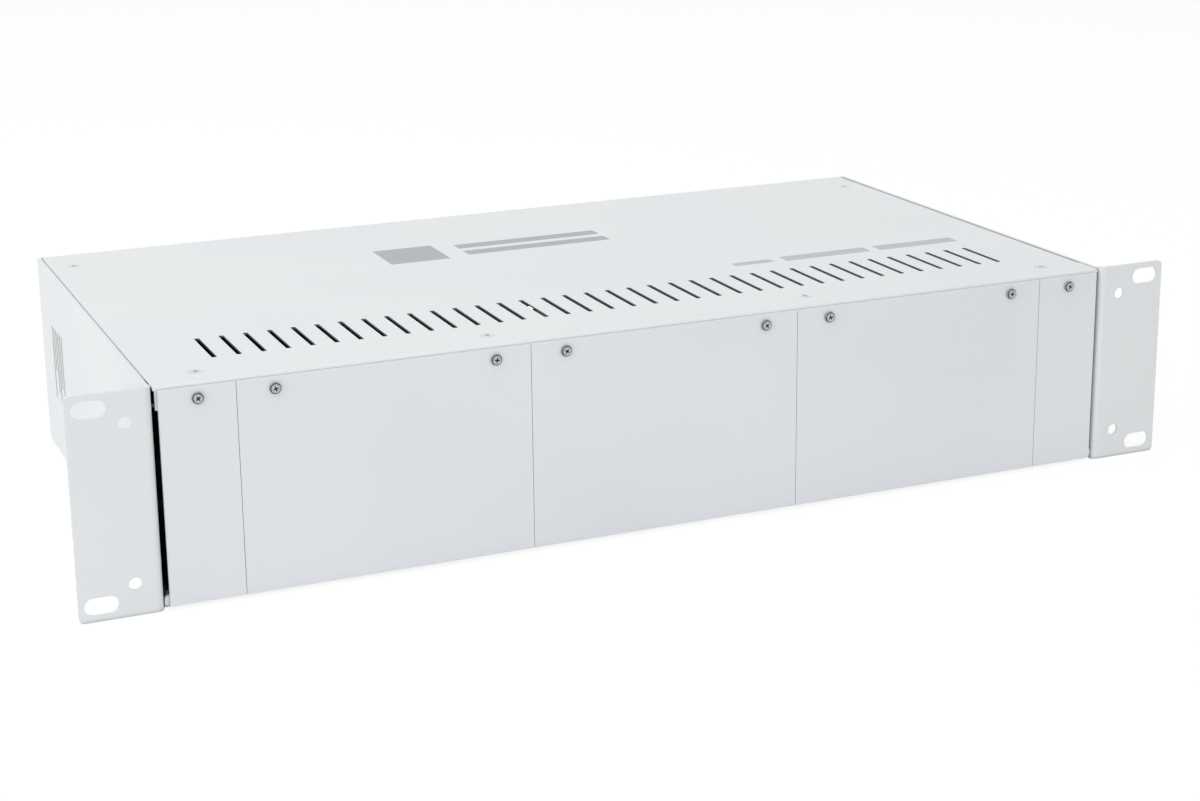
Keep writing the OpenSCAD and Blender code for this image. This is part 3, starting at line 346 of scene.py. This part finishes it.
def moulded(name, colour, darker, roughness):
    """Moulded plastic: one colour, and a fine texture in its tone, gloss and relief."""
    material, tree, shader = new_finish(name, IOR=1.52, Roughness=roughness)
    fine = grain(tree, TOOL_TEXTURE)
    mottled(tree, shader, fine, colour, darker)
    gloss = spread(tree, fine.outputs["Fac"], roughness - 0.06, roughness + 0.06)
    tree.links.new(gloss, shader.inputs["Roughness"])
    bump(tree, shader, fine.outputs["Fac"], 0.02 * mm, 0.5)
    return material


def board_lacquer(name):
    """Green lacquer over woven glass cloth."""
    material, tree, shader = new_finish(name, IOR=1.5, Roughness=0.3, Coat_Weight=0.5)
    place = add(tree, "TexCoord")
    weave = add(tree, "TexChecker", {"Vector": place.outputs["Object"], "Scale": 1 / CLOTH_WEAVE})
    tone = blend_colours(tree, weave.outputs["Fac"], "#17603A", "#145532")
    tree.links.new(tone, shader.inputs["Base Color"])
    return material


def winding(name):
    """Enamelled copper wires laid side by side, with painted shade between them and painted highlight on
    top.
    """
    material, tree, shader = new_finish(name, Metallic=0.8, Roughness=0.35)
    place = add(tree, "TexCoord")
    ribs = {"Vector": place.outputs["Object"], "Scale": 1 / (2 * math.pi * WIRE_R)}
    wires = add(tree, "TexWave", ribs, bands_direction="Y")
    # Painted shade and highlight: dark copper in the grooves between wires, light on their crowns.
    tone = blend_colours(tree, wires.outputs["Fac"], "#7A3F22", "#C07A48")
    tree.links.new(tone, shader.inputs["Base Color"])
    bump(tree, shader, wires.outputs["Fac"], 0.1 * mm, 0.6)
    return material


def finned_aluminium(name):
    """Extruded aluminium, streaked along the way it left the die."""
    material, tree, shader = new_finish(name, Metallic=1.0, Roughness=0.35)
    mottled(tree, shader, grain(tree, 1 * mm, stretch=(1, 1, 0.05)), "#C4C6C8", "#B2B5B8")
    return material


black_plastic = moulded("PBT plastic, black", "#1B1C1E", "#151618", 0.45)
nylon = moulded("nylon, natural", "#E4DDC8", "#DBD3BC", 0.4)
tape = moulded("polyester tape, yellow", "#D9A520", "#C8961A", 0.35)
sleeve = moulded("shrink sleeve, dark blue", "#1B2440", "#161D35", 0.25)
rocker_red = moulded("polycarbonate, red", "#B01A18", "#A21513", 0.25)
lacquer = board_lacquer("glass-fibre board, green lacquer")
copper = winding("copper winding, enamelled")
fins = finned_aluminium("aluminium, extruded")
print("plastics and boards are ready")

# %% [markdown]
# ## Dressing the CAD nodes
# Every CAD node gets the finish that such a piece has. It keeps its shape, apart from the
# blank screws, which are replaced further on. A table from finish to nodes keeps that
# choice in one place, and the print at the end shows whether any node is bare.

# %% Assign finishes


def sides(*names):
    """Both the left and the right node of each name."""
    return [side + "_" + name for name in names for side in ("left", "right")]


dressing = [
    (coat_cover, ["top_cover"]),
    (coat_body, ["chassis_base", "rear_panel"]),
    (coat_front, ["middle_blank"] + sides("blank", "narrow_blank", "module_face")),
    (coat_screw, ["cover_screws"]),
    (nickel_dark_reflection, ["blank_screws"]),
    (zinc_sheet_shaded, ["lower_guide", "upper_guide", "power_bracket"]),
    (zinc_sheet_shaded, sides("module_rail", "module_case", "module_lid")),
    (zinc_bright, ["clinch_nuts", "bracket_screws", "board_screws", "thumb_screws"]),
    (zinc_bright, ["fan_screws", "fan_nuts"] + sides("fan_guard")),
    (brass, ["board_standoffs", "ground_stud"]),
    (lacquer, ["power_board"] + sides("module_board")),
    (black_plastic, ["power_plugs"] + sides("inlet", "switch_body", "fan_frame", "fan_rotor")),
    (nylon, ["module_sockets"] + sides("module_plug")),
    (tape, sides("transformer")),
    (copper, ["fan_stators"]),
    (sleeve, sides("capacitors")),
    (fins, sides("heatsink")),
    (rocker_red, sides("rocker")),
]
dressed = set()
for finish, names in dressing:
    for name in names:
        nodes[name].data.materials.clear()
        nodes[name].data.materials.append(finish)
        dressed.add(name)
print("dressed:", len(dressed), "bare:", sorted(set(nodes) - dressed))

# %% [markdown]
# ## Shaping small pieces
# The new pieces start as primitives and are shaped in edit mode or by a modifier that is
# applied at once. `pick` selects by place, so that a shape says where it is worked on.

# %% Helpers for shapes


def settle(name):
    """Names the active piece and bakes its place, turn and scale into its mesh."""
    piece = bpy.context.object
    piece.name = name
    bpy.ops.object.transform_apply(location=True, rotation=True, scale=True)
    return piece


def pick(piece, kind, test):
    """Enters edit mode and selects the vertices or the edges that lie all within a test."""
    use(piece)
    bpy.ops.object.mode_set(mode="EDIT")
    bpy.ops.mesh.select_mode(type=kind)
    bpy.ops.mesh.select_all(action="DESELECT")
    mesh = bmesh.from_edit_mesh(piece.data)
    for item in {"VERT": mesh.verts, "EDGE": mesh.edges}[kind]:
        corners = [item] if kind == "VERT" else item.verts
        item.select_set(all(test(v.co) for v in corners))
    mesh.select_flush_mode()
    bmesh.update_edit_mesh(piece.data)


def join(name, pieces):
    """Joins pieces into one object with this name."""
    use(*pieces)
    bpy.ops.object.join()
    pieces[0].name = name
    return pieces[0]


def box(name, low, high):
    """A block between two opposite corners."""
    low, high = Vector(low), Vector(high)
    bpy.ops.mesh.primitive_cube_add(size=1, location=(low + high) / 2)
    bpy.context.object.scale = high - low
    return settle(name)


def finish_with(piece, *materials):
    """Puts materials on a piece, lets it ride on the cage and counts its faces."""
    piece.data.materials.clear()
    for material in materials:
        piece.data.materials.append(material)
    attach(piece, "cage")
    print(piece.name, "has", len(piece.data.polygons), "faces")


def islands(node, gap):
    """The boxes of a node's separate pieces, told apart by a gap along X, as corner pairs."""
    points = sorted((node.matrix_world @ v.co for v in node.data.vertices), key=lambda p: p.x)
    groups = [[points[0]]]
    for point in points[1:]:
        if point.x - groups[-1][-1].x > gap:
            groups.append([])
        groups[-1].append(point)
    boxes = []
    for group in groups:
        spans = [(min(p[i] for p in group), max(p[i] for p in group)) for i in range(3)]
        boxes.append(tuple(Vector(corner) for corner in zip(*spans)))
    return boxes


print("shape helpers are ready")

# %% [markdown]
# ## Blank screws
# Each blank hangs on one or two small pan-head screws. The head is a cylinder with its top
# edge rounded over. The cross recess is cut by two crossed bars that narrow downwards, as
# the tip of the driver does. The side of the head and its flat face are bright nickel. The
# rounded edge between them gets a darker colour, a painted reflection of the dark room
# that such an edge mirrors, and the recess gets painted shade, darker still. No two screws
# stop at the same angle, so each copy is turned by its own amount.

# %% Blank screws
screw_boxes = islands(nodes["blank_screws"], 4 * mm)
first_low, first_high = screw_boxes[0]
PLATE_Y = reach(nodes["middle_blank"], 1)[0]
HEAD_R = (first_high.x - first_low.x) / 2
HEAD_H = PLATE_Y - first_low.y
HEAD_ROUND = 0.3 * HEAD_R
SHANK_L = first_high.y - PLATE_Y
SHANK_R = 1.25 * mm
RECESS_W = 1.25 * HEAD_R
RECESS_BAR = 0.3 * HEAD_R
RECESS_DEPTH = 0.6 * HEAD_H
FIRST_TURN = 40
NEXT_TURN = 67


def recess_bar(turn):
    """One tapered bar of the cross that cuts the recess."""
    bpy.ops.mesh.primitive_cube_add(size=1, location=(0, 0, HEAD_H))
    bpy.context.object.scale = (RECESS_W, RECESS_BAR, 2 * RECESS_DEPTH)
    bpy.context.object.rotation_euler = (0, 0, turn)
    bar = settle("recess_bar")
    pick(bar, "VERT", lambda p: p.z < HEAD_H)
    bpy.ops.transform.resize(value=(0.5, 0.5, 1))
    bpy.ops.object.mode_set(mode="OBJECT")
    return bar


def cut(piece, tool):
    """Cuts a tool out of a piece and removes the tool."""
    modifier = piece.modifiers.new("cut", "BOOLEAN")
    modifier.operation = "DIFFERENCE"
    modifier.solver = "EXACT"
    modifier.object = tool
    use(piece)
    bpy.ops.object.modifier_apply(modifier="cut")
    bpy.data.objects.remove(tool, do_unlink=True)


def rod(name, radius, z0, z1, vertices):
    """A cylinder along Z between two heights."""
    place = (0, 0, (z0 + z1) / 2)
    bpy.ops.mesh.primitive_cylinder_add(vertices=vertices, radius=radius, depth=z1 - z0, location=place)
    return settle(name)


head = rod("screw_head", HEAD_R, 0, HEAD_H, 48)
pick(head, "EDGE", lambda p: p.z > 0.9 * HEAD_H)
bpy.ops.mesh.bevel(offset=HEAD_ROUND, segments=5, affect="EDGES")
bpy.ops.object.mode_set(mode="OBJECT")
for turn in (0, math.pi / 2):
    cut(head, recess_bar(turn))
screw = join("blank_screw", [head, rod("screw_shank", SHANK_R, -SHANK_L, 0, 32)])
# Painted shade: a near-black colour for the inside of the cross recess.
nickel_recess_shade = plated_steel("nickel-plated steel, painted recess shade", "#2A2C2E", "#1D1F20", 0.5)
finish_with(screw, nickel_face, nickel_dark_reflection, nickel_recess_shade)
for face in screw.data.polygons:
    from_axis = math.hypot(face.center.x, face.center.y)
    in_recess = from_axis < RECESS_W / 2 and 0 < face.center.z < 0.97 * HEAD_H
    rounded = face.center.z > 0.7 * HEAD_H and face.normal.z < 0.9
    face.material_index = 2 if in_recess else 1 if rounded else 0
use(screw)
bpy.ops.object.shade_smooth_by_angle(angle=math.radians(35))

copies = []
for number, (low, high) in enumerate(screw_boxes):
    use(screw)
    bpy.ops.object.duplicate()
    copy = bpy.context.object
    spin = Matrix.Rotation(math.radians(FIRST_TURN + NEXT_TURN * number), 4, "Z")
    seat = Matrix.Translation(((low.x + high.x) / 2, PLATE_Y, (low.z + high.z) / 2))
    copy.matrix_world = seat @ Matrix.Rotation(math.pi / 2, 4, "X") @ spin
    copies.append(settle("blank_screw_%d" % number))
bpy.data.objects.remove(screw, do_unlink=True)
blank_screws = join("blank_screws_detailed", copies)
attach(blank_screws, "cage")
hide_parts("blank_screws")
print(len(screw_boxes), "screws,", len(blank_screws.data.polygons), "faces in all")

# %% [markdown]
# ## Printed fields and the label
# The cover carries two printed fields and the left wall a paper label. They hold no words
# here: plain bars stand where the print is, with its size, its place and its grey. Ink lies
# about 0.03 mm thick on the coat, and a label about 0.1 mm.

# %% Printed fields
INK_T = 0.03 * mm


def ink(name, colour, darker):
    """Matt ink or paper, a little uneven."""
    material, tree, shader = new_finish(name, Roughness=0.55)
    mottled(tree, shader, grain(tree, 3 * mm), colour, darker)
    return material


def print_on_cover(name, bars, material):
    """Ink on the cover: bars as (left, right, front, rear) in millimetres."""
    films = []
    for left, right, front, rear in bars:
        low = (left * mm, front * mm, cover_top)
        high = (right * mm, rear * mm, cover_top + INK_T)
        films.append(box(name, low, high))
    finish_with(join(name, films), material)


EMBLEM_BARS = [(-68, -40, 144, 172), (-30, 40, 160, 168), (-30, 40, 147, 155)]
CAPTION_BARS = [(69, 88, 74, 79), (94, 137, 73, 81), (142, 183, 73, 81)]
ink_grey = ink("screen-printed ink, grey", "#B4B9BC", "#AEB3B6")
ink_light = ink("screen-printed ink, light grey", "#C3C8CB", "#BDC2C5")
print_on_cover("cover_emblem_field", EMBLEM_BARS, ink_grey)
print_on_cover("cover_caption_field", CAPTION_BARS, ink_light)

# %% Label on the left wall
EAR_W = 30.8 * mm
WALL_X = cad_low.x + EAR_W
LABEL_T = 0.1 * mm
LABEL_LOW = (WALL_X - LABEL_T, 174.5 * mm, -18 * mm)
LABEL_HIGH = (WALL_X, 203.5 * mm, 21 * mm)
MARGIN = 3 * mm
BAR_W = 1.8 * mm
BAR_STEP = 4.2 * mm
BAR_LENGTHS = (33, 25, 33, 29, 20, 33)

label = box("wall_label", LABEL_LOW, LABEL_HIGH)
finish_with(label, ink("label paper, white", "#EFF1F2", "#EAECED"))
bars = []
for number, length in enumerate(BAR_LENGTHS):
    y = LABEL_LOW[1] + MARGIN + number * BAR_STEP
    z = LABEL_HIGH[2] - MARGIN
    low = (LABEL_LOW[0] - INK_T, y, z - length * mm)
    high = (LABEL_LOW[0], y + BAR_W, z)
    bars.append(box("bar", low, high))
finish_with(join("wall_label_bars", bars), ink("label ink, grey", "#9BA0A3", "#8F9497"))

# %% [markdown]
# ## Floor, background and light
# The cage stands on a plain white floor under broad, soft lamps, as in a product studio.
# The floor is white by its colour, and a share of glow for the rays that show it lifts it
# to nearly plain white but leaves a trace of shadow. Such rays also see a white world
# behind it, so the horizon disappears. Other rays, which light the cage, meet a dimmer one.

# %% Floor and world
FLOOR_SIZE = 12.0
FLOOR_GLOW = 0.8
WORLD_LIGHT = 0.55
floor_z = cad_low.z


def studio_floor(name):
    """Matt white floor with a share of glow for the rays that show it."""
    material, tree, shader = new_finish(name, Roughness=0.9)
    shader.inputs["Base Color"].default_value = paint("#FAFAFA")
    cloudy = grain(tree, 400 * mm)
    tree.links.new(spread(tree, cloudy.outputs["Fac"], 0.85, 0.95), shader.inputs["Roughness"])
    glow = add(tree, "Emission", {"Color": paint("#FFFFFF"), "Strength": 1.06})
    share = add(tree, "Math", {0: seen_directly(tree), 1: FLOOR_GLOW}, operation="MULTIPLY")
    mix = add(tree, "MixShader", {"Fac": share.outputs[0]})
    tree.links.new(shader.outputs[0], mix.inputs[1])
    tree.links.new(glow.outputs[0], mix.inputs[2])
    tree.links.new(mix.outputs[0], tree.nodes["Material Output"].inputs["Surface"])
    return material


bpy.ops.mesh.primitive_plane_add(size=FLOOR_SIZE, location=(0, 0, floor_z))
floor = bpy.context.object
floor.name = "studio_floor"
floor.data.materials.append(studio_floor("studio floor, matt white"))
bpy.ops.object.transform_apply(location=True, rotation=True, scale=True)

world = bpy.data.worlds.new("studio")
bpy.context.scene.world = world
world.use_nodes = True
sky = world.node_tree
background = sky.nodes["Background"]
background.inputs["Color"].default_value = paint("#FFFFFF")
background.inputs["Strength"].default_value = WORLD_LIGHT
bright = add(sky, "Background", {"Color": paint("#FFFFFF"), "Strength": 1.0})
choose = add(sky, "MixShader", {"Fac": seen_directly(sky)})
sky.links.new(background.outputs[0], choose.inputs[1])
sky.links.new(bright.outputs[0], choose.inputs[2])
sky.links.new(choose.outputs[0], sky.nodes["World Output"].inputs["Surface"])
print("floor at", round(floor_z, 4))

# %% [markdown]
# The strongest lamp hangs above the cage, so the cover is lit most. A weaker one on the
# left lights the left wall, and the weakest, in front, lights the blanks.

# %% Lamps


def soft_lamp(name, place, size, power):
    """A square area lamp that looks at the middle of the cage."""
    lamp = bpy.data.lights.new(name, "AREA")
    lamp.size = size
    lamp.energy = power
    holder = bpy.data.objects.new(name, lamp)
    bpy.context.scene.collection.objects.link(holder)
    target = (cad_low + cad_high) / 2
    holder.location = place
    holder.rotation_euler = (target - Vector(place)).to_track_quat("-Z", "Y").to_euler()


soft_lamp("key_above", (-0.4, 0.2, 1.7), 1.8, 11)
soft_lamp("fill_left", (-1.7, -0.6, 0.7), 1.4, 7)
soft_lamp("fill_front", (-0.8, -1.9, 0.5), 1.6, 5)
bpy.context.scene.view_settings.view_transform = "Standard"
print("lamps placed:", [light.name for light in bpy.data.lights])
